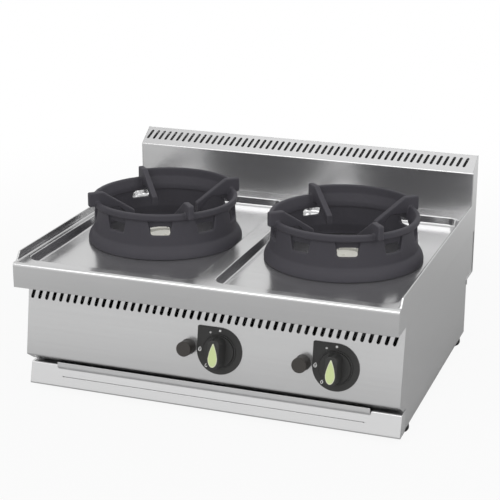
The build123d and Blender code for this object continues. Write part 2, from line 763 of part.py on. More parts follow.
def button():
    """Ignition button: plain cylinder with a stem."""
    head = disc(button_radius, -button_tail, button_reach)
    head = fillet(head.faces().sort_by(Axis.Z)[-1].edges(), button_edge)
    return head + disc(button_stem_radius, -button_tail - button_stem_length, -button_tail)


# ---- gas train ----
def manifold_centre():
    """Centre of the manifold pipe behind the control panel."""
    place = on_panel(0, knob_rise) * Pos(0, -pipe_drop, -pipe_setback)
    return place.position


def gas_manifold():
    """Manifold behind the panel, bent to run back to the inlet, with a capped end."""
    c = manifold_centre()
    start_x = left_knob_x - pipe_end
    pipe = bent_pipe([(start_x, c.Y, c.Z), (supply_x, c.Y, c.Z), (supply_x, inlet_start_y, c.Z)],
                     pipe_bend, pipe_radius, pipe_radius - pipe_wall)
    cap_place = Plane(origin=(start_x, c.Y, c.Z), z_dir=(-1, 0, 0))
    cap = cap_place * RegularPolygon(pipe_radius + manifold_cap_wall, 6)
    return pipe + extrude(cap, amount=manifold_cap_length)


def gas_inlet():
    """Inlet nipple: union nut inside, lock nut outside the rear panel, and its threaded end."""
    frame = Plane(origin=(supply_x, inlet_start_y, manifold_centre().Z), z_dir=(0, 1, 0)).location
    panel_back = lower_y - inlet_start_y
    thread_start = panel_back + lock_nut_length
    end = panel_back + inlet_reach
    thread = disc(inlet_radius, thread_start, end)
    thread = chamfer(thread.faces().sort_by(Axis.Z)[-1].edges(), inlet_tip_chamfer)
    nut = RegularPolygon(nut_radius, 6)
    union_nut = extrude(Pos(0, 0, panel_back - body_sheet - union_nut_length) * nut, amount=union_nut_length)
    lock_nut = extrude(Pos(0, 0, panel_back) * nut, amount=lock_nut_length)
    body = disc(inlet_shank_radius, 0, thread_start) + thread + union_nut + lock_nut
    return frame * (body - disc(pipe_radius - pipe_wall, -past, end + past))


def feed_pipe(knob_x, burner_x):
    """Bent pipe from a valve's outlet to its injector holder."""
    outlet_end = -valve_front - valve_length - outlet_length
    start = (on_panel(knob_x, knob_rise) * Pos(0, 0, outlet_end + feed_seat)).position
    run_z = start.Z - (holder_y - start.Y) * tan(radians(panel_lean))
    points = [tuple(start), (knob_x, holder_y, run_z), (burner_x, holder_y, run_z),
              (burner_x, holder_y, rail_top + feed_seat)]
    return bent_pipe(points, feed_bend, feed_radius)


# ---- wok ring ----
def ring_profile():
    """Half section of the ring: flared foot, tapering body, proud rim and inner bead."""
    foot = (ring_base_radius, 0)
    flare_low = (ring_base_radius, ring_foot_height)
    shoulder = (ring_shoulder_radius, ring_flare_height)
    neck = (ring_neck_radius, rim_bottom)
    rim_low = (rim_radius, rim_bottom)
    rim_high = (rim_radius, rim_top)
    rim_in = (rim_radius - rim_wall, rim_top)
    bead_high = (rim_in[0] - bead_depth + bead_slope, bead_top)
    bead_low = (rim_in[0] - bead_depth, bead_bottom)
    body_high = (ring_neck_radius - ring_wall, bead_bottom - casting_round)
    body_low = (ring_shoulder_radius - ring_wall, ring_flare_height)
    foot_high = (ring_base_radius - casting_round - ring_wall, ring_foot_height)
    foot_in = (foot_high[0], 0)
    flare_middle = ((flare_low[0] + shoulder[0] + ring_flare_sag) / 2, (flare_low[1] + shoulder[1]) / 2)
    section = make_face(ThreePointArc(flare_low, flare_middle, shoulder) +
                        Polyline(shoulder, neck, rim_low, rim_high, rim_in, bead_high, bead_low, body_high,
                                 body_low, foot_high, foot_in, foot, flare_low))
    for corner in (foot, neck, rim_low, rim_high, rim_in, bead_high, bead_low):
        section = fillet(nearest_corner(section, corner), casting_round)
    return section


def nearest_corner(face, place):
    """The corner of a flat face that lies nearest to a place."""
    return face.vertices().sort_by(lambda v: (v.X - place[0]) ** 2 + (v.Y - place[1]) ** 2)[0]


def window_cutter():
    """One trapezoid window, cut outward from inside the ring's wall."""
    top, low = window_top_width / 2, window_bottom_width / 2
    face = make_face(Polyline((-low, window_bottom), (low, window_bottom), (top, window_top),
                              (-top, window_top), close=True))
    face = fillet(face.vertices().group_by(Axis.Y)[0], window_round)
    start = ring_neck_radius - ring_wall - join
    return extrude(Plane.YZ.offset(start) * face, amount=ring_base_radius - start)


def back_wall():
    """Raised wall between the two rear fins, which keeps the flame off the cowl."""
    outer = rim_radius - back_wall_setback
    inner = rim_radius - rim_wall
    root = rim_top - 2 * casting_round
    high_out = (outer, back_wall_top)
    high_in = (inner + back_wall_draft, back_wall_top)
    section = make_face(Polyline((inner, root), (outer, root), high_out, high_in, close=True))
    for corner in (high_out, high_in):
        section = fillet(nearest_corner(section, corner), casting_round)
    sweep_angle = 360 / fin_count
    return Rot(0, 0, ring_turn) * revolve(Plane.XZ * section, axis=Axis.Z, revolution_arc=sweep_angle)


def fin():
    """One wok rest: a block over the rim and an arched fin that slopes down inside to its nose."""
    wall_middle = ring_neck_radius - ring_wall / 2
    nose_low = (fin_inner_radius, fin_nose_bottom)
    nose_high = (fin_inner_radius, fin_inner_top)
    face = make_face(Polyline(nose_low, (fin_arch_radius, fin_arch_height), (wall_middle, fin_arch_height),
                              (wall_middle, fin_block_bottom), (fin_reach, fin_block_bottom),
                              (fin_reach, fin_top), (fin_flat_radius, fin_top), nose_high, close=True))
    face = fillet(face.vertices().group_by(Axis.X)[-1], fin_round)
    face = fillet(nearest_corner(face, nose_low), fin_round)
    face = fillet(nearest_corner(face, (fin_arch_radius, fin_arch_height)), 4 * fin_round)
    plate = extrude(Plane.XZ * face, amount=fin_thick, both=True)
    low, high = fin_thick / 2, fin_top_thick / 2
    under, over = fin_nose_bottom - past, fin_top + past
    taper = make_face(Polyline((-low, under), (low, under), (high, over), (-high, over), close=True))
    plate &= side_profile(taper, 0, fin_reach + past)
    outline = plate.edges().filter_by(lambda e: abs(e.center().Y) > high - join)
    return fillet(outline, fin_edge_round)


def wok_ring():
    """Cast-iron wok ring about the local Z axis, its foot at z = 0."""
    ring = revolve(Plane.XZ * ring_profile(), axis=Axis.Z)
    cutter = window_cutter()
    for i in range(window_count):
        ring -= Rot(0, 0, window_first + i * window_pitch) * cutter
    ring += back_wall()
    for i in range(fin_count):
        ring += Rot(0, 0, ring_turn + i * 360 / fin_count) * fin()
    return ring


# ---- burner ----
def burner_body():
    """Burner casting: base bowl, cap post, crown with the flame gap, and inlet boss."""
    crown_in = burner_radius - crown_width
    crown_low = burner_top - crown_thick
    neck_z = crown_low - crown_thick
    waist = burner_radius - bowl_waist_inset
    bend = waist - bowl_taper
    bend_z = burner_base + bowl_bend_height
    outside = Polyline((0, burner_base), (bowl_base_radius, burner_base), (bend, bend_z), (waist, neck_z),
                       (burner_radius, crown_low), (burner_radius, burner_top), (crown_in, burner_top),
                       (crown_in, crown_low), (0, crown_low), close=True)
    floor_z = burner_base + bowl_wall
    hollow = Polyline((0, floor_z), (bowl_base_radius - bowl_wall / 2, floor_z), (bend - bowl_wall, bend_z),
                      (waist - bowl_wall, neck_z), (crown_in, crown_low), (0, crown_low), close=True)
    body = revolve(Plane.XZ * make_face(outside), axis=Axis.Z)
    boss = Plane(origin=(0, -burner_radius, mixer_z), z_dir=(0, 1, 0)).location
    body += boss * disc(mixer_bore + bowl_wall, 0, burner_radius - bowl_base_radius)
    body += boss * disc(mixer_flange, 0, mixer_flange_thick)
    body -= revolve(Plane.XZ * make_face(hollow), axis=Axis.Z)
    body -= boss * disc(mixer_bore, -past, burner_radius - bowl_base_radius + bowl_wall)
    return body + rod(0, 0, burner_base, burner_top - cap_thick, post_radius)


def burner_cap():
    """Domed cap that lifts off the burner's post."""
    low = burner_top - cap_thick
    dome_edge = (cap_radius - cap_edge, burner_top)
    dome_top = (0, burner_top + cap_dome)
    dome = RadiusArc(dome_edge, dome_top, -(dome_edge[0] ** 2 + cap_dome ** 2) / (2 * cap_dome))
    bevel = 2 * cap_edge
    section = make_face(Polyline(dome_top, (0, low), (cap_radius - bevel, low), (cap_radius, low + bevel),
                                 (cap_radius, burner_top - cap_edge), dome_edge) + dome)
    cap = revolve(Plane.XZ * section, axis=Axis.Z)
    hub_in = post_radius + post_clearance
    cap += disc(hub_in + cap_hub_wall, low - cap_hub_depth, low) - disc(hub_in, low - cap_hub_depth, low)
    return cap - disc(cap_dimple_radius, burner_top - cap_dome, burner_top + 2 * cap_dome)


def mixing_tube():
    """Mixing tube with a flanged end, a bell mouth and a foot on the front rail."""
    frame = Plane(origin=(0, mixer_start_y - well_y, mixer_z), z_dir=(0, -1, 0)).location
    flare = mixer_length - mixer_mouth_length
    outside = make_face(Polyline((0, 0), (mixer_flange, 0), (mixer_flange, mixer_flange_thick),
                                 (mixer_radius, mixer_flange_thick + mixer_flange_web), (mixer_radius, flare),
                                 (mixer_mouth, mixer_length - mouth_rim), (mixer_mouth, mixer_length),
                                 (0, mixer_length), close=True))
    inside = make_face(Polyline((0, 0), (mixer_bore, 0), (mixer_bore, flare),
                                (mixer_mouth - mouth_wall, mixer_length), (0, mixer_length), close=True))
    front = mouth_y - well_y
    foot = block((-mixer_bore, mixer_bore), (front, front + mouth_rim), (rail_top, mixer_z))
    tube = frame * revolve(Plane.XZ * outside, axis=Axis.Z) + foot
    return tube - frame * revolve(Plane.XZ * inside, axis=Axis.Z)


def injector_holder():
    """Elbow that carries the injector above the front rail."""
    y = holder_y - well_y
    body = rod(0, y, rail_top, mixer_z + holder_radius, holder_radius)
    body += rod(0, y, rail_top, rail_top + holder_flange_thick, holder_flange)
    bore = Plane(origin=(0, y, mixer_z), z_dir=(0, 1, 0)).location
    boss_end = holder_radius + holder_boss_proud
    body += bore * disc(holder_radius - holder_boss_inset, 0, boss_end)
    body -= bore * disc(gas_way, 0, boss_end + past)
    body -= rod(0, y, rail_top - past, rail_top + feed_seat, feed_radius)
    return body - rod(0, y, rail_top, mixer_z, gas_way)


def injector():
    """Brass injector: hexagon and tapered nozzle."""
    boss_end = holder_radius + holder_boss_proud
    frame = Plane(origin=(0, holder_y - well_y + boss_end, mixer_z), z_dir=(0, 1, 0)).location
    middle = (injector_length - boss_end) / 2
    body = frame * extrude(RegularPolygon(injector_radius + injector_shoulder, 6), amount=middle)
    root = injector_radius - injector_shoulder
    nozzle = make_face(Polyline((injector_bore, 0), (root, 0), (injector_tip, middle), (injector_bore, middle),
                                close=True))
    body -= frame * disc(injector_bore, -past, 2 * middle)
    return body + frame * Pos(0, 0, middle) * revolve(Plane.XZ * nozzle, axis=Axis.Z)


def front_rail():
    """Cross rail under the mixing tubes, drilled for the feed pipes."""
    reach = side_inner
    line = [(rail_y, rail_top - rail_leg), (rail_y, rail_top), (rail_y + rail_width, rail_top),
            (rail_y + rail_width, rail_top - rail_leg)]
    rail = folded(line, top_sheet, -reach, reach, rail_bend, Side.RIGHT)
    for x in (-burner_x, burner_x):
        rail -= rod(x, holder_y, rail_top - through, rail_top + past, feed_radius + rail_hole_gap)
    return rail


def rear_rail():
    """Cross rail that the burner castings stand on."""
    reach = side_inner
    start = well_y - rail_width / 2
    line = [(start, burner_base - rail_leg), (start, burner_base), (start + rail_width, burner_base),
            (start + rail_width, burner_base - rail_leg)]
    return folded(line, top_sheet, -reach, reach, rail_bend, Side.RIGHT)


# ---- pilot set, placed beside the burner in +X ----
def pilot_bracket():
    """Angle bracket on the burner casting that holds the pilot parts."""
    z = well_floor - pilot_drop
    x_in = burner_radius - crown_width
    side = pilot_spread + bracket_side
    shelf = block((x_in, pilot_reach + bracket_reach), (-side, side), (z, z + bracket_thick))
    shelf -= burner_body()
    for y, radius in ((0, pilot_radius), (pilot_spread, sensor_radius), (-pilot_spread, electrode_radius)):
        shelf -= rod(pilot_reach, y, z - past, z + bracket_thick + past, radius)
    return shelf


def pilot_burner():
    """Pilot burner: tube with a hooded, slotted head."""
    z = well_floor - pilot_drop
    tip = well_floor + pilot_rise
    body = rod(pilot_reach, 0, z - pilot_tail, tip, pilot_radius)
    body = fillet(body.faces().sort_by(Axis.Z)[-1].edges(), pilot_hood_edge)
    return body - block((pilot_reach - pilot_radius - past, pilot_reach), (-pilot_port_width / 2, pilot_port_width / 2),
                        (tip - pilot_port[0], tip - pilot_port[1]))


def thermocouple():
    """Thermocouple: thin rod with a collar."""
    z = well_floor - pilot_drop
    tip = well_floor + pilot_rise + sensor_extra
    body = rod(pilot_reach, pilot_spread, z - sensor_tail, tip, sensor_radius)
    body = fillet(body.faces().sort_by(Axis.Z)[-1].edges(), sensor_edge)
    collar_z = z + bracket_thick
    return body + rod(pilot_reach, pilot_spread, collar_z, collar_z + sensor_collar_length, sensor_collar_radius)


def electrode():
    """Spark electrode: ceramic sleeve with a wire tip bent toward the pilot."""
    z = well_floor - pilot_drop
    tip = well_floor + pilot_rise
    sleeve_end = tip - electrode_bare
    sleeve = rod(pilot_reach, -pilot_spread, z - sensor_tail, sleeve_end, electrode_radius)
    sleeve = fillet(sleeve.faces().sort_by(Axis.Z)[-1].edges(), electrode_edge)
    high = tip + wire_rise
    wire = bent_pipe([(pilot_reach, -pilot_spread, sleeve_end - past), (pilot_reach, -pilot_spread, high),
                      (pilot_reach, -pilot_spread + wire_run, high)], wire_bend, wire_radius)
    return sleeve + wire


# ---- drip tray ----
def front_line_y(height):
    """Outer face of the tray front at a height above its lower edge."""
    return front_y + front_setback + height * tan(radians(front_lean))


def tray_front():
    """Sloping front of the drip tray with its finger lip and relief slit."""
    low = (front_line_y(0), front_foot)
    high = (front_line_y(front_height), front_foot + front_height)
    line = [(low[0] + front_return, front_foot), low, high, (high[0] + front_flange, high[1])]
    sheet = folded(line, body_sheet, -side_outer, side_outer, front_bend, Side.RIGHT)
    end_y = side_y - seam
    end_face = make_face(FilletPolyline(line[0], low, high, line[3], radius=front_bend) +
                         Polyline(line[3], (end_y, high[1]), (end_y, front_foot), line[0]))
    for sign in (-1, 1):
        x_out = sign * side_outer
        x_in = sign * side_inner
        sheet += side_profile(end_face, min(x_in, x_out), max(x_in, x_out))
    step_height = front_height - lip_notch
    cut_z = front_foot + step_height
    sheet -= block((-lip_half, lip_half), (low[0], high[0] + front_flange + past), (cut_z, high[1] + past))
    step_y = front_line_y(step_height)
    lip = [(front_line_y(step_height - lip_root), cut_z - lip_root), (step_y, cut_z),
           (step_y - lip_step, cut_z + lip_step), (step_y - lip_step + lip_lean, cut_z + lip_height)]
    sheet += folded(lip, body_sheet, -lip_half, lip_half, lip_bend, Side.RIGHT)
    lean = radians(front_lean)
    face = Plane(origin=(0, low[0] + slit_rise * sin(lean), front_foot + slit_rise * cos(lean)),
                 x_dir=(1, 0, 0), z_dir=(0, -cos(lean), sin(lean)))
    slit = Rectangle(2 * slit_half, slit_width)
    for sign in (-1, 1):
        slit += Pos(sign * slit_half, 0) * Circle(slit_end_radius)
    return sheet - extrude(face * slit, amount=vent_cut, both=True)


def drip_tray():
    """Pan with rounded corners and a rim that hangs on the runners."""
    x_out = side_inner - tray_clearance
    y_front = front_y + front_setback + tray_front_gap
    y_back = y_front + tray_length
    top = tray_floor + tray_wall_height
    middle = Pos(0, (y_front + y_back) / 2, 0)
    outer = middle * extrude(Pos(0, 0, tray_floor) * RectangleRounded(2 * x_out, tray_length, tray_corner),
                             amount=tray_wall_height)
    inner = middle * extrude(Pos(0, 0, tray_floor + body_sheet) * RectangleRounded(
        2 * (x_out - body_sheet), tray_length - 2 * body_sheet, tray_corner - body_sheet), amount=tray_wall_height)
    rim_front = front_line_y(top - front_foot) + body_sheet / cos(radians(front_lean))
    rim = block((-x_out - tray_rim, x_out + tray_rim), (rim_front, y_back + tray_rim), (top - body_sheet, top))
    rim -= middle * extrude(Pos(0, 0, tray_floor) * RectangleRounded(
        2 * (x_out - join), tray_length - 2 * join, tray_corner), amount=2 * tray_wall_height)
    return outer - inner + rim


def tray_runner(sign):
    """Angle on the side panel that the tray's rim slides along."""
    top = tray_floor + tray_wall_height - body_sheet - runner_gap
    x_out = side_inner
    y_start = side_y + 2 * body_sheet
    y_end = front_y + front_setback + tray_front_gap + tray_length + tray_rim
    x_in = x_out - runner_leg
    shelf = block((x_in, x_out), (y_start, y_end), (top - body_sheet, top))
    leg = block((x_out - body_sheet, x_out), (y_start, y_end), (top - body_sheet, top + runner_leg))
    stop = block((x_in, x_out), (y_end, y_end + body_sheet), (top - body_sheet, top + runner_leg / 2))
    angle = shelf + leg + stop
    return angle if sign > 0 else mirror(angle, about=Plane.YZ)


def panel_screws():
    """Pan-head screws along the cowl's rear sheet and the lower rear panel."""
    head = disc(panel_screw_radius, 0, panel_screw_proud)
    head = fillet(head.faces().sort_by(Axis.Z)[-1].edges(), panel_screw_edge)
    places = []
    spaces = panel_screw_count - 1
    for i in range(panel_screw_count):
        x = (i - spaces / 2) * (width - 2 * panel_screw_margin) / spaces
        places.append((x, rear_y, worktop_height - skirt_drop / 2))
        places.append((x, rear_y, cowl_top_z - cowl_lap / 2 - panel_screw_drop))
        places.append((x, lower_y, base_height + base_flange / 2 + panel_screw_rise))
    frames = [Plane(origin=p, z_dir=(0, 1, 0)).location for p in places]
    return Compound(children=[f * head for f in frames])


# ---- write the parts ----
def main():
    os.makedirs("parts", exist_ok=True)
    nodes = {
        "worktop": worktop(),
        "cowl_front": cowl_front(),
        "cowl_rear": cowl_rear(),
        "rear_panel": rear_panel(),
        "base_pan": base(),
        "feet": feet(),
        "foot_screws": foot_screws(),
        "panel_screws": panel_screws(),
        "control_panel": control_panel(),
        "gas_manifold": gas_manifold(),
        "gas_inlet": gas_inlet(),
        "front_rail": front_rail(),
        "rear_rail": rear_rail(),
        "drip_tray": drip_tray(),
        "tray_front": tray_front(),
    }
    shared_at_burner = {
        "burner_body": burner_body(),
        "burner_cap": burner_cap(),
        "mixing_tube": mixing_tube(),
        "injector_holder": injector_holder(),
        "injector": injector(),
        "pilot_bracket": pilot_bracket(),
        "pilot_burner": pilot_burner(),
        "thermocouple": thermocouple(),
        "electrode": electrode(),
    }
    shared_at_knob = {
        "bezel": bezel(),
        "knob": knob(),
        "knob_mark": knob_mark(),
        "valve_stem": valve_stem(),
        "valve_plunger": valve_plunger(),
        "gas_valve": gas_valve(),
    }
    shared_at_button = {"igniter": igniter_body(), "button": button()}
    ring = wok_ring()
    for name, sign in sides.items():
        nodes["cowl_end_" + name] = cowl_end(sign)
        nodes["side_panel_" + name] = side_panel(sign)
        nodes["tray_runner_" + name] = tray_runner(sign)
        nodes["wok_ring_" + name] = Pos(sign * burner_x, well_y, well_floor) * ring
        for part_name, shape in shared_at_burner.items():
            nodes[part_name + "_" + name] = Pos(sign * burner_x, well_y, 0) * shape
        at_knob = on_panel(knob_places[name], knob_rise)
        for part_name, shape in shared_at_knob.items():
            nodes[part_name + "_" + name] = at_knob * shape
        at_button = on_panel(knob_places[name] - button_to_knob, knob_rise)
        for part_name, shape in shared_at_button.items():
            nodes[part_name + "_" + name] = at_button * shape
        nodes["feed_pipe_" + name] = feed_pipe(knob_places[name], sign * burner_x)
    for name, shape in nodes.items():
        export_step(shape, "parts/" + name + ".step")
    print(len(nodes), "nodes written")


main()
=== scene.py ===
import json
import math
import bmesh
import bpy
from mathutils import Matrix, Vector, noise


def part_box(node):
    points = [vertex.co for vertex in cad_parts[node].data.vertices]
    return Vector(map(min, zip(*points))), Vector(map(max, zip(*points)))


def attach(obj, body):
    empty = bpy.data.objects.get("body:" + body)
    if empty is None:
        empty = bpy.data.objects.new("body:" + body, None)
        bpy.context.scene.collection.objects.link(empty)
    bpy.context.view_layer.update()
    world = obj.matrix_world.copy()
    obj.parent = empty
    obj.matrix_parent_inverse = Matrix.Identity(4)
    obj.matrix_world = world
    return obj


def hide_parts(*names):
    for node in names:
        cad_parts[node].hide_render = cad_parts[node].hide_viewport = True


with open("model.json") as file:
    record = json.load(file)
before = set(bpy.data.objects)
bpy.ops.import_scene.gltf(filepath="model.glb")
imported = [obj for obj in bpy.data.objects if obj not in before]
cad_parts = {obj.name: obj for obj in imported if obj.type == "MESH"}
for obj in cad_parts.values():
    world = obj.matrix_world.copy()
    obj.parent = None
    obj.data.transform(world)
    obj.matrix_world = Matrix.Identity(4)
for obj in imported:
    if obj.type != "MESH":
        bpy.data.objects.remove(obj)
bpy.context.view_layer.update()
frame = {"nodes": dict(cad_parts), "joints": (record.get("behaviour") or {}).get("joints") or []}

# Looks of the countertop wok range. Metres, in the same frame as the solids:
# X to the right, Y to the back, Z up, origin on the bench under the middle.
nodes = frame["nodes"]
joints = {joint["name"]: joint for joint in frame["joints"]}
sides = ("left", "right")
print("frame:", len(nodes), "nodes")


# A socket that takes part in sums, with numbers or with other sockets.
class Flow:
    def __init__(self, shop, socket):
        self.shop = shop
        self.socket = socket

    def __add__(self, other):
        return self.shop.total("ADD", self, other)

    def __radd__(self, other):
        return self.shop.total("ADD", other, self)

    def __sub__(self, other):
        return self.shop.total("SUBTRACT", self, other)

    def __rsub__(self, other):
        return self.shop.total("SUBTRACT", other, self)

    def __mul__(self, other):
        return self.shop.total("MULTIPLY", self, other)

    def __rmul__(self, other):
        return self.shop.total("MULTIPLY", other, self)

    def __gt__(self, other):
        return self.shop.total("GREATER_THAN", self, other)

    def __lt__(self, other):
        return self.shop.total("LESS_THAN", self, other)

    def largest(self, other):
        return self.shop.total("MAXIMUM", self, other)


# Makes the nodes of one material or of the sky, with their settings and their links.
class Shop:
    def __init__(self, owner):
        self.owner = owner
        owner.use_nodes = True
        self.tree = owner.node_tree
        self.tree.nodes.clear()

    def feed(self, socket, value):
        if isinstance(value, Flow):
            self.tree.links.new(value.socket, socket)
        elif isinstance(value, (tuple, list)) and socket.type == "RGBA" and len(value) == 3:
            socket.default_value = (*value, 1.0)
        else:
            socket.default_value = value

    def node(self, kind, settings=None, inputs=None, out=0):
        made = self.tree.nodes.new("ShaderNode" + kind)
        for key, value in (settings or {}).items():
            if key == "stops":
                self.setStops(made.color_ramp, value)
            else:
                setattr(made, key, value)
        for key, value in (inputs or {}).items():
            self.feed(made.inputs[key], value)
        return Flow(self, made.outputs[out]) if made.outputs else None

    def setStops(self, ramp, stops):
        while len(ramp.elements) < len(stops):
            ramp.elements.new(0.5)
        for element, (place, tone) in zip(ramp.elements, stops):
            element.position = place
            element.color = (tone, tone, tone, 1.0)

    def total(self, operation, *parts):
        wide = [p for p in parts if isinstance(p, Flow) and p.socket.type in ("VECTOR", "RGBA")]
        kind = "VectorMath" if wide else "Math"
        if wide:
            parts = [(p,) * 3 if isinstance(p, (int, float)) else p for p in parts]
        return self.node(kind, {"operation": operation}, dict(enumerate(parts)))

    def mix(self, factor, first, second, blend="MIX"):
        return self.node("Mix", {"data_type": "RGBA", "blend_type": blend}, {0: factor, 6: first, 7: second}, 2)

    def ramp(self, value, *stops):
        return self.node("ValToRGB", {"stops": stops}, {0: value})

    def place(self, scale=(1, 1, 1)):
        spot = self.node("TexCoord", out="Object")
        return self.node("Mapping", None, {"Vector": spot, "Scale": scale})

    def grain(self, scale, detail=2.0, roughness=0.5, at=None):
        inputs = {"Vector": at or self.place(), "Scale": scale, "Detail": detail, "Roughness": roughness}
        return self.node("TexNoise", None, inputs)

    def rounded(self, radius):
        return self.node("Bevel", {"samples": 4}, {"Radius": radius})

    def height(self, value, strength, distance, normal=None):
        inputs = {"Height": value, "Strength": strength, "Distance": distance}
        if normal:
            inputs["Normal"] = normal
        return self.node("Bump", None, inputs)

    def finish(self, **sockets):
        inputs = {key.replace("_", " "): value for key, value in sockets.items()}
        self.node("OutputMaterial", None, {"Surface": self.node("BsdfPrincipled", None, inputs)})
        return self.owner


def newShop(name):
    return Shop(bpy.data.materials.new(name))


def shade(tone, share):
    return tuple(min(1.0, channel * share) for channel in tone)


steel = {
    "tone": 0.71,
    "blue": 1.004,           # the steel's faint cold cast
    "metal": 0.92,
    "streaks": 0.045,        # how far the brushing lightens and darkens the steel
    "roughness": 0.23,
    "hairLength": 0.09,      # of one brushed line
    "hairWidth": 0.0007,
    "hairDepth": 0.000012,
    "hairGloss": 0.12,       # change of gloss from line to line
    "bands": 0.13,           # scale of the lines against that of the bands they lie in
    "smudge": 0.03,          # uneven gloss over the width of a hand
    "smudgeGrain": 7.0,
    "edge": 0.0012,          # rounding that the light finds on folded edges
}


def brushedSteel(name, grainAxis, look=steel, tone=None, roughness=None):
    shop = newShop(name)
    tone = tone or look["tone"]
    roughness = roughness or look["roughness"]
    scale = [1 / look["hairWidth"]] * 3
    scale["XYZ".index(grainAxis)] = 1 / look["hairLength"]
    hairs = shop.grain(1.0, 3.0, 0.6, shop.place(scale))
    bands = shop.grain(1.0, 2.0, 0.5, shop.place([s * look["bands"] for s in scale]))
    clouds = shop.grain(look["smudgeGrain"], 3.0)
    streak = (hairs - 0.5) * look["streaks"] + (bands - 0.5) * look["streaks"]
    level = tone + streak + (clouds - 0.5) * look["smudge"]
    colour = shop.node("CombineColor", None, {0: level, 1: level, 2: level * look["blue"]})
    gloss = roughness + (hairs - 0.5) * look["hairGloss"] + (clouds - 0.5) * look["smudge"] * 2
    relief = shop.height(hairs, 0.5, look["hairDepth"], shop.rounded(look["edge"]))
    return shop.finish(Base_Color=colour, Metallic=look["metal"], Roughness=gloss, Normal=relief)


castIron = {
    "skin": (0.060, 0.057, 0.068),
    "wearAndHighlight": (0.086, 0.083, 0.094),
    "pitAndPaintedShade": (0.042, 0.040, 0.048),
    "ridge": ((0.50, 0.0), (0.58, 0.7)),    # painted highlight and wear: where convex corners are lightened, and how far
    # painted shade: how far concave places are darkened, and where that fades out
    "hollow": ((0.42, 0.6), (0.49, 0.0)),
    "specks": ((0.35, 0.30), (0.6, 0.0)),
    "grain": 900.0,          # of the sand
    "swell": 60.0,
    "blotch": 16.0,
    "roughness": 0.62,
    "blotchGloss": 0.16,
    "sandGloss": 0.12,
    "shine": 0.32,
    "depth": 0.00016,        # of the sand marks
    "swellDepth": 0.00096,
}


def castSkin(name, look=castIron):
    shop = newShop(name)
    sand = shop.grain(look["grain"], 4.0, 0.65)
    swell = shop.grain(look["swell"], 2.0)
    blotch = shop.grain(look["blotch"], 3.0)
    ridge = shop.ramp(shop.node("NewGeometry", out="Pointiness"), *look["ridge"])
    hollow = shop.ramp(shop.node("NewGeometry", out="Pointiness"), *look["hollow"])
    # Painted highlight and wear: convex corners, found by pointiness, are lightened towards the paler tone.
    colour = shop.mix(ridge, look["skin"], look["wearAndHighlight"])
    # Painted shade: concave places, found by pointiness, are darkened towards the dark pit tone; that tone also
    # marks the sand specks below.
    colour = shop.mix(hollow, colour, look["pitAndPaintedShade"])
    colour = shop.mix(shop.ramp(sand, *look["specks"]), colour, look["pitAndPaintedShade"])
    gloss = look["roughness"] + (blotch - 0.5) * look["blotchGloss"] + (sand - 0.5) * look["sandGloss"]
    relief = shop.height(sand, 0.55, look["depth"], shop.height(swell, 0.25, look["swellDepth"]))
    return shop.finish(Base_Color=colour, Roughness=gloss, Normal=relief, Specular_IOR_Level=look["shine"])


plastic = {
    "dark": (0.038, 0.038, 0.037),
    "warm": (0.052, 0.047, 0.043),
    "rubber": (0.014, 0.014, 0.014),
    "texture": 2600.0,
    "textureGloss": 0.08,
    "textureDepth": 0.00003,
    "handled": 22.0,         # patches that hands have greased
    "handledShare": 0.35,
    "handledTone": 1.35,
    "handledGloss": 0.14,
    "roughness": 0.46,
    "edge": 0.0005,
}


def mouldedPlastic(name, tone, look=plastic, roughness=None, edge=None):
    shop = newShop(name)
    texture = shop.grain(look["texture"], 3.0, 0.6)
    handled = shop.grain(look["handled"], 3.0)
    colour = shop.mix((handled - 0.4) * look["handledShare"], tone, shade(tone, look["handledTone"]))
    gloss = (roughness or look["roughness"]) + (handled - 0.5) * look["handledGloss"]
    gloss = gloss + (texture - 0.5) * look["textureGloss"]
    relief = shop.height(texture, 0.35, look["textureDepth"], shop.rounded(edge or look["edge"]))
    return shop.finish(Base_Color=colour, Roughness=gloss, Normal=relief)


burner = {
    "crown": (0.84, 0.83, 0.76),
    "casting": (0.10, 0.10, 0.10),
    "soot": (0.30, 0.28, 0.24),
    "sootShare": 0.5,
    "crownDepth": 0.011,     # bright coating on the top of the casting
    "grain": 700.0,
    "roughness": 0.52,
    "sandGloss": 0.2,
    "depth": 0.00012,
}


def burnerCasting(name, look=burner):
    shop = newShop(name)
    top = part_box("burner_body_left")[1].z
    spot = shop.node("TexCoord", out="Object")
    coated = shop.node("SeparateXYZ", None, {0: spot}, 2) > top - look["crownDepth"]
    sand = shop.grain(look["grain"], 3.0, 0.6)
    colour = shop.mix(coated, look["casting"], look["crown"])
    colour = shop.mix((sand - 0.45) * look["sootShare"], colour, look["soot"], "MULTIPLY")
    gloss = look["roughness"] + (sand - 0.5) * look["sandGloss"]
    relief = shop.height(sand, 0.4, look["depth"])
    return shop.finish(Base_Color=colour, Roughness=gloss, Normal=relief)


turned = {
    "marks": 900.0,          # left by the tool
    "marksGloss": 0.14,
    "marksDepth": 0.00004,
    "stain": 45.0,
    "stainShare": 0.45,
    "stainTone": 0.72,
    "stainGloss": 0.12,
    "edge": 0.0004,
}


def turnedMetal(name, tone, roughness, metallic=1.0, look=turned):
    shop = newShop(name)
    marks = shop.grain(look["marks"], 3.0, 0.6)
    stain = shop.grain(look["stain"], 3.0)
    colour = shop.mix((stain - 0.4) * look["stainShare"], tone, shade(tone, look["stainTone"]))
    gloss = roughness + (marks - 0.5) * look["marksGloss"] + (stain - 0.5) * look["stainGloss"]
    relief = shop.height(marks, 0.3, look["marksDepth"], shop.rounded(look["edge"]))
    return shop.finish(Base_Color=colour, Metallic=metallic, Roughness=gloss, Normal=relief)


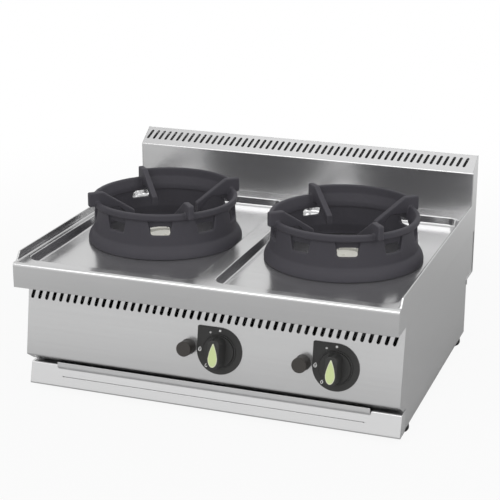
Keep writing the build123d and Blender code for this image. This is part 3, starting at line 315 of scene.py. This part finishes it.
finishes = {
    "steelAcross": brushedSteel("steelAcross", "X"),
    "steelUpright": brushedSteel("steelUpright", "Y"),
    "steelTop": brushedSteel("steelTop", "X", roughness=0.19),
    # Painted light: the same brushed steel with a lighter tone on the tray front, standing in for the stronger
    # light it catches.
    "steelTrayPaintedLight": brushedSteel("steelTrayPaintedLight", "X", tone=0.84, roughness=0.20),
    "plainSteel": brushedSteel("plainSteel", "X", tone=0.50, roughness=0.36),
    "castIron": castSkin("castIron"),
    "burnerCasting": burnerCasting("burnerCasting"),
    "burnerCap": turnedMetal("burnerCap", burner["crown"], 0.46, 0.0),
    "tube": turnedMetal("tube", (0.58, 0.58, 0.57), 0.30),
    "screw": turnedMetal("screw", (0.52, 0.52, 0.51), 0.32),
    "brass": turnedMetal("brass", (0.74, 0.56, 0.27), 0.30),
    "ceramic": turnedMetal("ceramic", (0.84, 0.83, 0.79), 0.25, 0.0),
    "knobPlastic": mouldedPlastic("knobPlastic", plastic["dark"]),
    "buttonPlastic": mouldedPlastic("buttonPlastic", plastic["warm"], roughness=0.58),
    "rubber": mouldedPlastic("rubber", plastic["rubber"], roughness=0.55),
    "markRim": mouldedPlastic("markRim", (0.82, 0.86, 0.62), roughness=0.34, edge=0.0003),
    "markField": mouldedPlastic("markField", (0.70, 0.82, 0.40), roughness=0.38, edge=0.0002),
    "print": mouldedPlastic("print", (0.92, 0.92, 0.91), roughness=0.5, edge=0.0001),
}

finishOf = {
    "worktop": "steelTop", "cowl_front": "steelAcross", "cowl_rear": "steelAcross", "cowl_end": "steelUpright",
    "side_panel": "steelUpright", "rear_panel": "steelAcross", "control_panel": "steelAcross",
    "tray_front": "steelTrayPaintedLight", "drip_tray": "steelAcross",
    "base_pan": "plainSteel", "tray_runner": "plainSteel", "front_rail": "plainSteel", "rear_rail": "plainSteel",
    "pilot_bracket": "plainSteel", "feed_pipe": "tube", "gas_manifold": "tube", "thermocouple": "tube",
    "gas_inlet": "brass", "gas_valve": "brass", "injector": "brass", "injector_holder": "brass",
    "pilot_burner": "brass", "valve_plunger": "brass", "valve_stem": "screw", "foot_screws": "screw",
    "panel_screws": "screw", "electrode": "ceramic", "wok_ring": "castIron", "mixing_tube": "castIron",
    "burner_body": "burnerCasting", "burner_cap": "burnerCap", "bezel": "knobPlastic", "knob": "knobPlastic",
    "button": "buttonPlastic", "igniter": "buttonPlastic", "knob_mark": "markRim", "feet": "rubber",
}

for nodeName, solid in nodes.items():
    base = nodeName
    for side in sides:
        base = base.removesuffix("_" + side)
    solid.data.materials.clear()
    solid.data.materials.append(finishes[finishOf[base]])
print("finishes:", len(finishes))


def newPiece(name, mesh, finish, body):
    piece = bpy.data.objects.new(name, mesh)
    bpy.context.scene.collection.objects.link(piece)
    mesh.materials.clear()
    mesh.materials.append(finishes[finish])
    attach(piece, body)
    return piece


casting = {
    "voxel": 0.0015,
    "smoothing": 6,          # rounds of smoothing, which round the corners as a sand casting has them
    "softness": 0.5,
    "roughSkin": 0.00016,    # height of the uneven skin
    "skinSize": 95.0,
    "fineSize": 3.1,         # the finer part of that skin
    "fineShare": 0.5,
}


def castMesh(solid, look=casting):
    rough = bpy.data.objects.new("casting", solid.data.copy())
    bpy.context.scene.collection.objects.link(rough)
    remesh = rough.modifiers.new("skin", "REMESH")
    remesh.mode = "VOXEL"
    remesh.voxel_size = look["voxel"]
    soften = rough.modifiers.new("soften", "SMOOTH")
    soften.iterations = look["smoothing"]
    soften.factor = look["softness"]
    mesh = bpy.data.meshes.new_from_object(rough.evaluated_get(bpy.context.evaluated_depsgraph_get()))
    bpy.data.objects.remove(rough)
    spots = [vertex.co.copy() for vertex in mesh.vertices]
    outward = [vertex.normal.copy() for vertex in mesh.vertices]   # read before any point moves
    for vertex, spot, normal in zip(mesh.vertices, spots, outward):
        lift = noise.noise(spot * look["skinSize"])
        lift += look["fineShare"] * noise.noise(spot * look["skinSize"] * look["fineSize"])
        vertex.co = spot + normal * lift * look["roughSkin"]
    for face in mesh.polygons:
        face.use_smooth = True
    return mesh


for side in sides:
    nodeName = "wok_ring_" + side
    ring = newPiece("ringCasting_" + side, castMesh(nodes[nodeName]), "castIron", "ring_" + side)
    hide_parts(nodeName)
print("wok rings cast")


# A flat spot on the control panel or on a control: right, up the slope and out of the face.
def panelFrame(side):
    turn = joints["knob_turn_" + side]
    out = Vector(turn["axis"]).normalized()
    across = Vector((1, 0, 0))
    axes = Matrix((across, out.cross(across), out)).transposed()
    return Matrix.Translation(Vector(turn["pos_m"])) @ axes.to_4x4()


# Thin plates of the given outlines, from low to high above the panel.
def plateMesh(outlines, low, high, place):
    mesh = bpy.data.meshes.new("plate")
    build = bmesh.new()
    for outline in outlines:
        lower = [build.verts.new(place @ Vector((x, y, low))) for x, y in outline]
        upper = [build.verts.new(place @ Vector((x, y, high))) for x, y in outline]
        build.faces.new(upper)
        build.faces.new(list(reversed(lower)))
        for i, corner in enumerate(lower):
            j = (i + 1) % len(lower)
            build.faces.new((corner, lower[j], upper[j], upper[i]))
    bmesh.ops.triangulate(build, faces=[f for f in build.faces if len(f.verts) > 4])
    build.to_mesh(mesh)
    build.free()
    return mesh


# A closed line drawn with a pen of that width, as quads between two offsets of the outline.
def penLine(outline, width):
    inner, outer = [], []
    for i, (x, y) in enumerate(outline):
        ahead = Vector(outline[(i + 1) % len(outline)]) - Vector(outline[i - 1])
        aside = Vector((ahead.y, -ahead.x)).normalized() * width / 2
        outer.append((x + aside.x, y + aside.y))
        inner.append((x - aside.x, y - aside.y))
    following = [(i + 1) % len(outline) for i in range(len(outline))]
    return [(outer[i], outer[j], inner[j], inner[i]) for i, j in enumerate(following)]


flameShape = {
    "steps": 28,
    "width": 0.62,           # of half the flame, against its height
    "foot": 0.55,            # of the width that the foot has
    "narrowing": 0.55,       # how the sides draw in to the tip
    "below": 0.45,           # of the height that lies under the mark's place
}


# One closed flame: a round foot that narrows to a tip bent to one side.
def flame(size, lean, look=flameShape):
    points = []
    for i in range(look["steps"]):
        angle = 2 * math.pi * i / look["steps"]
        rise = (1 - math.cos(angle)) / 2
        full = look["foot"] + (1 - look["foot"]) * rise
        narrow = math.sin(angle) * (1 - rise) ** look["narrowing"] * full
        points.append((size * (look["width"] * narrow + lean * rise ** 2), size * (rise - look["below"])))
    return points


# A small star for the ignition place.
def spark(size, rays=6, waist=0.42):
    points = []
    for i in range(2 * rays):
        reach = size if i % 2 == 0 else size * waist
        angle = math.pi * i / rays + math.pi / 2
        points.append((reach * math.cos(angle), reach * math.sin(angle)))
    return points


def dot(size, steps=20):
    turns = [2 * math.pi * i / steps for i in range(steps)]
    return [(size * math.cos(turn), size * math.sin(turn)) for turn in turns]


def moved(outline, x, y):
    return [(px + x, py + y) for px, py in outline]


dial = {
    "radius": 0.0412,        # of the circle that the marks stand on
    "face": 0.0030,          # the bezel's face above the panel
    "print": 0.00008,        # its height above that face, and its depth in it
    "sink": 0.0002,
    "off": (90, 0.0025),     # angle and size of each mark
    "ignite": (119, 0.0029),
    "high": (181, 0.0088),
    "low": (231, 0.0066),
    "lean": 0.12,
    "pen": 0.0013,
    "inner": 0.5,            # the small flame inside the high one: its size, lean, drop and pen
    "innerLean": 0.1,
    "innerDrop": 0.18,
    "innerPen": 0.8,
}


def dialMarks(side, look=dial):
    def at(angle):
        turn = math.radians(angle)
        return look["radius"] * math.cos(turn), look["radius"] * math.sin(turn)

    shapes = [moved(dot(look["off"][1]), *at(look["off"][0]))]
    shapes.append(moved(spark(look["ignite"][1]), *at(look["ignite"][0])))
    for name in ("high", "low"):
        angle, size = look[name]
        shapes += penLine(moved(flame(size, look["lean"]), *at(angle)), look["pen"])
    angle, size = look["high"]
    x, y = at(angle)
    small = flame(size * look["inner"], look["innerLean"])
    shapes += penLine(moved(small, x, y - size * look["innerDrop"]), look["pen"] * look["innerPen"])
    return plateMesh(shapes, look["face"] - look["sink"], look["face"] + look["print"], panelFrame(side))


knobDrop = {
    "face": 0.0396,          # the insert's face above the panel
    "middle": -0.0082,       # where the drop is widest, below the knob's middle
    "halfWidth": 0.0082,
    "foot": 0.0153,          # from the widest place down and up
    "tip": 0.0282,
    "height": 0.00012,
    "sink": 0.0004,
    "steps": 24,             # along a quarter of the outline
}


# The coloured field inside the insert's pale rim.
def dropField(side, look=knobDrop):
    steps = look["steps"]
    shares = [i / steps for i in range(steps + 1)]
    upper = [(look["halfWidth"] * math.cos(math.pi * share / 2), look["tip"] * share) for share in shares]
    lower = [(look["halfWidth"] * math.cos(math.pi * i / steps), look["foot"] * math.sin(math.pi * i / steps))
             for i in range(steps + 1, 2 * steps)]
    shape = upper + [(-x, y) for x, y in reversed(upper[:-1])] + lower
    low, high = look["face"] - look["sink"], look["face"] + look["height"]
    return plateMesh([moved(shape, 0, look["middle"])], low, high, panelFrame(side))


for side in sides:
    newPiece("dialMarks_" + side, dialMarks(side), "print", "root")
    newPiece("dropField_" + side, dropField(side), "markField", "control_" + side)
print("dials marked")


studio = {
    "floor": 0.48,
    "floorReach": 14.0,
    "shadowReach": (0.7, 2.2),   # from the middle, where the floor's own shade fades to white
    "floorWhite": 0.93,          # how white the camera sees the floor beside the range
    "mirrorWhite": (0.0, 0.64),  # how white the metal sees the floor, near and far
    "skyTone": 0.8,
    "skyLight": 0.86,
    "skyRise": (-0.02, 0.10),    # height of the sky over which its mirror image brightens
    "skyLow": 0.97,
    "lampAim": (0.0, 0.0, 0.25),
    "lamps": (
        # where it hangs, its width, its power
        ((-0.7, -2.4, 2.5), 2.2, 22.0),
        ((1.9, -0.9, 1.9), 1.4, 12.0),
        ((0.0, 0.4, 2.8), 2.4, 3.0),
    ),
}


def lightPaths(shop):
    names = ("Is Camera Ray", "Is Glossy Ray", "Is Transmission Ray")
    return [shop.node("LightPath", out=name) for name in names]


def floorFinish(look=studio):
    shop = newShop("floor")
    camera, glossy, clear = lightPaths(shop)
    spot = shop.node("TexCoord", out="Object")
    reach = shop.node("VectorMath", {"operation": "LENGTH"}, {0: spot}, 1)

    def away(low, high):
        return shop.node("MapRange", {"interpolation_type": "SMOOTHSTEP"}, {
            "Value": reach, "From Min": look["shadowReach"][0], "From Max": look["shadowReach"][1],
            "To Min": low, "To Max": high})

    seen = (camera.largest(clear) * away(look["floorWhite"], 1.0)).largest(glossy * away(*look["mirrorWhite"]))
    matt = shop.node("BsdfDiffuse", None, {"Color": (look["floor"],) * 3})
    white = shop.node("Emission", None, {"Color": (1, 1, 1), "Strength": 1.0})
    both = shop.node("MixShader", None, {0: seen, 1: matt, 2: white})
    shop.node("OutputMaterial", None, {"Surface": both})
    return shop.owner


def makeFloor(look=studio):
    reach = look["floorReach"]
    corners = [(-reach, -reach, 0), (reach, -reach, 0), (reach, reach, 0), (-reach, reach, 0)]
    mesh = bpy.data.meshes.new("floor")
    mesh.from_pydata(corners, [], [(0, 1, 2, 3)])
    mesh.materials.append(floorFinish())
    floor = bpy.data.objects.new("floor", mesh)
    bpy.context.scene.collection.objects.link(floor)


def makeLamps(look=studio):
    for number, (spot, width, power) in enumerate(look["lamps"]):
        lamp = bpy.data.lights.new(f"softbox{number}", "AREA")
        lamp.size = width
        lamp.energy = power
        holder = bpy.data.objects.new(lamp.name, lamp)
        holder.location = spot
        holder.rotation_euler = (Vector(look["lampAim"]) - Vector(spot)).to_track_quat("-Z", "Y").to_euler()
        holder.visible_camera = False
        bpy.context.scene.collection.objects.link(holder)


def makeSky(look=studio):
    world = bpy.data.worlds.new("sky")
    bpy.context.scene.world = world
    shop = Shop(world)
    camera, glossy, clear = lightPaths(shop)
    aloft = shop.node("SeparateXYZ", None, {0: shop.node("TexCoord", out="Generated")}, 2)
    low, high = look["skyRise"]
    rise = shop.node("MapRange", {"interpolation_type": "SMOOTHSTEP"}, {
        "Value": aloft, "From Min": low, "From Max": high, "To Min": look["skyLow"]})
    seen = camera.largest(glossy).largest(clear)
    level = shop.node("MapRange", None, {"Value": seen, "To Min": look["skyLight"], "To Max": rise})
    shine = shop.node("Background", None, {"Color": (look["skyTone"],) * 3, "Strength": level})
    shop.node("OutputWorld", None, {"Surface": shine})


makeFloor()
makeLamps()
makeSky()

view = {
    "spot": (0.9883, -2.7956, 1.2514),
    "tilt": 71.48,
    "turn": 19.79,
    "roll": 0.1,
    "lens": 104.97,
    "sensor": 36.0,
    "farEnd": 60.0,
}


def makeCamera(look=view):
    data = bpy.data.cameras.new("camera")
    data.lens = look["lens"]
    data.sensor_width = look["sensor"]
    data.clip_end = look["farEnd"]
    camera = bpy.data.objects.new("camera", data)
    bpy.context.scene.collection.objects.link(camera)
    turn = Matrix.Rotation(math.radians(look["turn"]), 4, "Z")
    tilt = Matrix.Rotation(math.radians(look["tilt"]), 4, "X")
    roll = Matrix.Rotation(math.radians(look["roll"]), 4, "Z")
    camera.matrix_world = Matrix.Translation(look["spot"]) @ turn @ tilt @ roll
    bpy.context.scene.camera = camera


makeCamera()
bpy.context.scene.view_settings.view_transform = "Standard"
print("studio ready")
